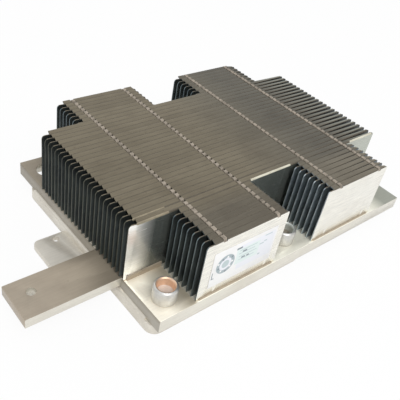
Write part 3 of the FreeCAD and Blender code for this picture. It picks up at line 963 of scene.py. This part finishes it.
labelLook = {
    "film": (0.84, 0.83, 0.82),
    "filmStain": (0.74, 0.73, 0.72),
    "filmWear": (260, 0.5),
    "roughness": 0.42,
    "softness": 0.03 * mm,
    "ink": (0.20, 0.24, 0.26),
    "softInk": (0.48, 0.56, 0.57),
    "paleField": (0.77, 0.78, 0.82),
    "greenField": (0.70, 0.78, 0.76),
    "markField": (0.36, 0.42, 0.44),
    # in mm from the label's lower left corner: across, up, half width, half height; then roundness and colour
    "shapes": [
        (15.9, 6.8, 6.6, 4.4, 0, "paleField"),
        (12.6, 7.3, 4.3, 2.7, 0, "greenField"),
        (12.6, 9.3, 3.2, 0.14, 0, "softInk"),
        (12.2, 8.2, 3.0, 0.14, 0, "softInk"),
        (12.8, 7.1, 3.3, 0.14, 0, "softInk"),
        (12.4, 5.9, 2.9, 0.14, 0, "softInk"),
        (9.0, 10.4, 1.0, 0.32, 0, "ink"),
        (11.3, 8.6, 0.8, 0.28, 0, "ink"),
        (11.2, 6.4, 0.7, 0.28, 0, "ink"),
        (12.9, 6.3, 0.5, 0.28, 0, "ink"),
        (17.6, 4.4, 0.45, 0.3, 0, "softInk"),
        (17.7, 8.2, 0.8, 0.25, 0, "softInk"),
        (19.1, 8.7, 0.6, 0.25, 0, "softInk"),
        (19.8, 10.7, 1.4, 0.2, 0, "softInk"),
        (0.6, 4.4, 0.14, 1.1, 0, "ink"),
        (0.9, 3.2, 0.5, 0.16, 0, "ink"),
    ],
    # a round mark of discs, with a ring of small dots
    "mark": (4.7, 6.9),
    "discs": [(3.2, "markField"), (2.1, "paleField"), (1.3, "softInk")],
    "dots": 9,
    "dotRadius": 0.35,
    "ring": (2.3, 2.9),
}
markX, markY = labelLook["mark"]
for radius, ink in labelLook["discs"]:
    labelLook["shapes"].append((markX, markY, radius, radius, 1, ink))
random.seed(4)
for dot in range(labelLook["dots"]):
    turn = 2 * math.pi * dot / labelLook["dots"]
    fromMark = random.uniform(*labelLook["ring"])
    across, up = markX + fromMark * math.cos(turn), markY + fromMark * math.sin(turn)
    ink = random.choice(("film", "ink"))
    labelLook["shapes"].append((across, up, labelLook["dotRadius"], labelLook["dotRadius"], 1, ink))


def makeLabelFilm(look, low):
    material, tree, shader = newMaterial("labelFilm")
    colour = wornColour(tree, look["film"], look["filmStain"], *look["filmWear"])
    for across, up, halfWidth, halfHeight, roundness, ink in look["shapes"]:
        shape = useGroup(tree, printedShape, Centre=(low.x + across * mm, low.y, low.z + up * mm),
                         Half_Size=(halfWidth * mm, 1, halfHeight * mm), Roundness=roundness)
        colour = mixColour(tree, shape.outputs["Mask"], colour, look[ink])
    tree.links.new(colour, shader.inputs["Base Color"])
    shader.inputs["Roughness"].default_value = look["roughness"]
    return material


labelFilm = makeLabelFilm(labelLook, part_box("label")[0])
softenedCopy("label", "printed_label", "label_film", "heatsink", labelFilm, softness=labelLook["softness"])
print("solder, seam and label made")


stageLook = {
    "floor": (0.9, 0.9, 0.9), "floorRoughness": 0.9, "floorSize": 6,
    "whiteSeen": 0.92,      # how far the floor shows plain white
    "whiteMirrored": 0.5,   # and in mirrored rays
    "sky": (0.76, 0.77, 0.78),
}
lampLook = {"place": (-0.2, -0.6, 0.75), "aim": (0, 0, 0), "size": 0.5, "power": 4}
cameraLook = {
    "place": (-0.09328, -0.10287, 0.11806), "turn": (51.81, -9.32, -39.64),  # in m and degrees
    "lens": 50.94, "shift": (0.0022, 0.0024), "clip": 0.01,
}
bpy.ops.mesh.primitive_plane_add(size=stageLook["floorSize"], location=(0, 0, 0))
floor = bpy.context.object
floor.name = "floor"
floorPaint, floorTree, floorShader = newMaterial("floorPaint")
floorShader.inputs["Base Color"].default_value = stageLook["floor"] + (1,)
floorShader.inputs["Roughness"].default_value = stageLook["floorRoughness"]
rays = addNode(floorTree, "LightPath")
mirrored = addNode(floorTree, "Math", operation="MAXIMUM")
seenShare = addNode(floorTree, "Math", operation="MULTIPLY")
seenShare.inputs[1].default_value = stageLook["whiteSeen"]
mirroredShare = addNode(floorTree, "Math", operation="MULTIPLY")
mirroredShare.inputs[1].default_value = stageLook["whiteMirrored"]
share = addNode(floorTree, "Math", operation="MAXIMUM")
glow = addNode(floorTree, "Emission")
blend = addNode(floorTree, "MixShader")
wire = floorTree.links.new
wire(rays.outputs["Is Glossy Ray"], mirrored.inputs[0])
wire(rays.outputs["Is Transmission Ray"], mirrored.inputs[1])
wire(rays.outputs["Is Camera Ray"], seenShare.inputs[0])
wire(mirrored.outputs[0], mirroredShare.inputs[0])
wire(seenShare.outputs[0], share.inputs[0])
wire(mirroredShare.outputs[0], share.inputs[1])
wire(share.outputs[0], blend.inputs[0])
wire(floorShader.outputs[0], blend.inputs[1])
wire(glow.outputs[0], blend.inputs[2])
wire(blend.outputs[0], floorTree.nodes["Material Output"].inputs["Surface"])
paint(floor, floorPaint)

world = bpy.data.worlds.new("studio")
scene.world = world
world.use_nodes = True
world.node_tree.nodes["Background"].inputs["Color"].default_value = stageLook["sky"] + (1,)


def softLamp(name, place, aim, size, power):
    bpy.ops.object.light_add(type="AREA", location=place)
    lamp = bpy.context.object
    lamp.name = name
    lamp.data.size = size
    lamp.data.energy = power
    lamp.rotation_euler = (Vector(aim) - Vector(place)).to_track_quat("-Z", "Y").to_euler()


softLamp("keyLamp", **lampLook)

cameraTurn = [math.radians(turn) for turn in cameraLook["turn"]]
bpy.ops.object.camera_add(location=cameraLook["place"], rotation=cameraTurn)
camera = bpy.context.object
camera.data.lens = cameraLook["lens"]
camera.data.shift_x, camera.data.shift_y = cameraLook["shift"]
camera.data.clip_start = cameraLook["clip"]
scene.camera = camera

scene.view_settings.view_transform = "Standard"
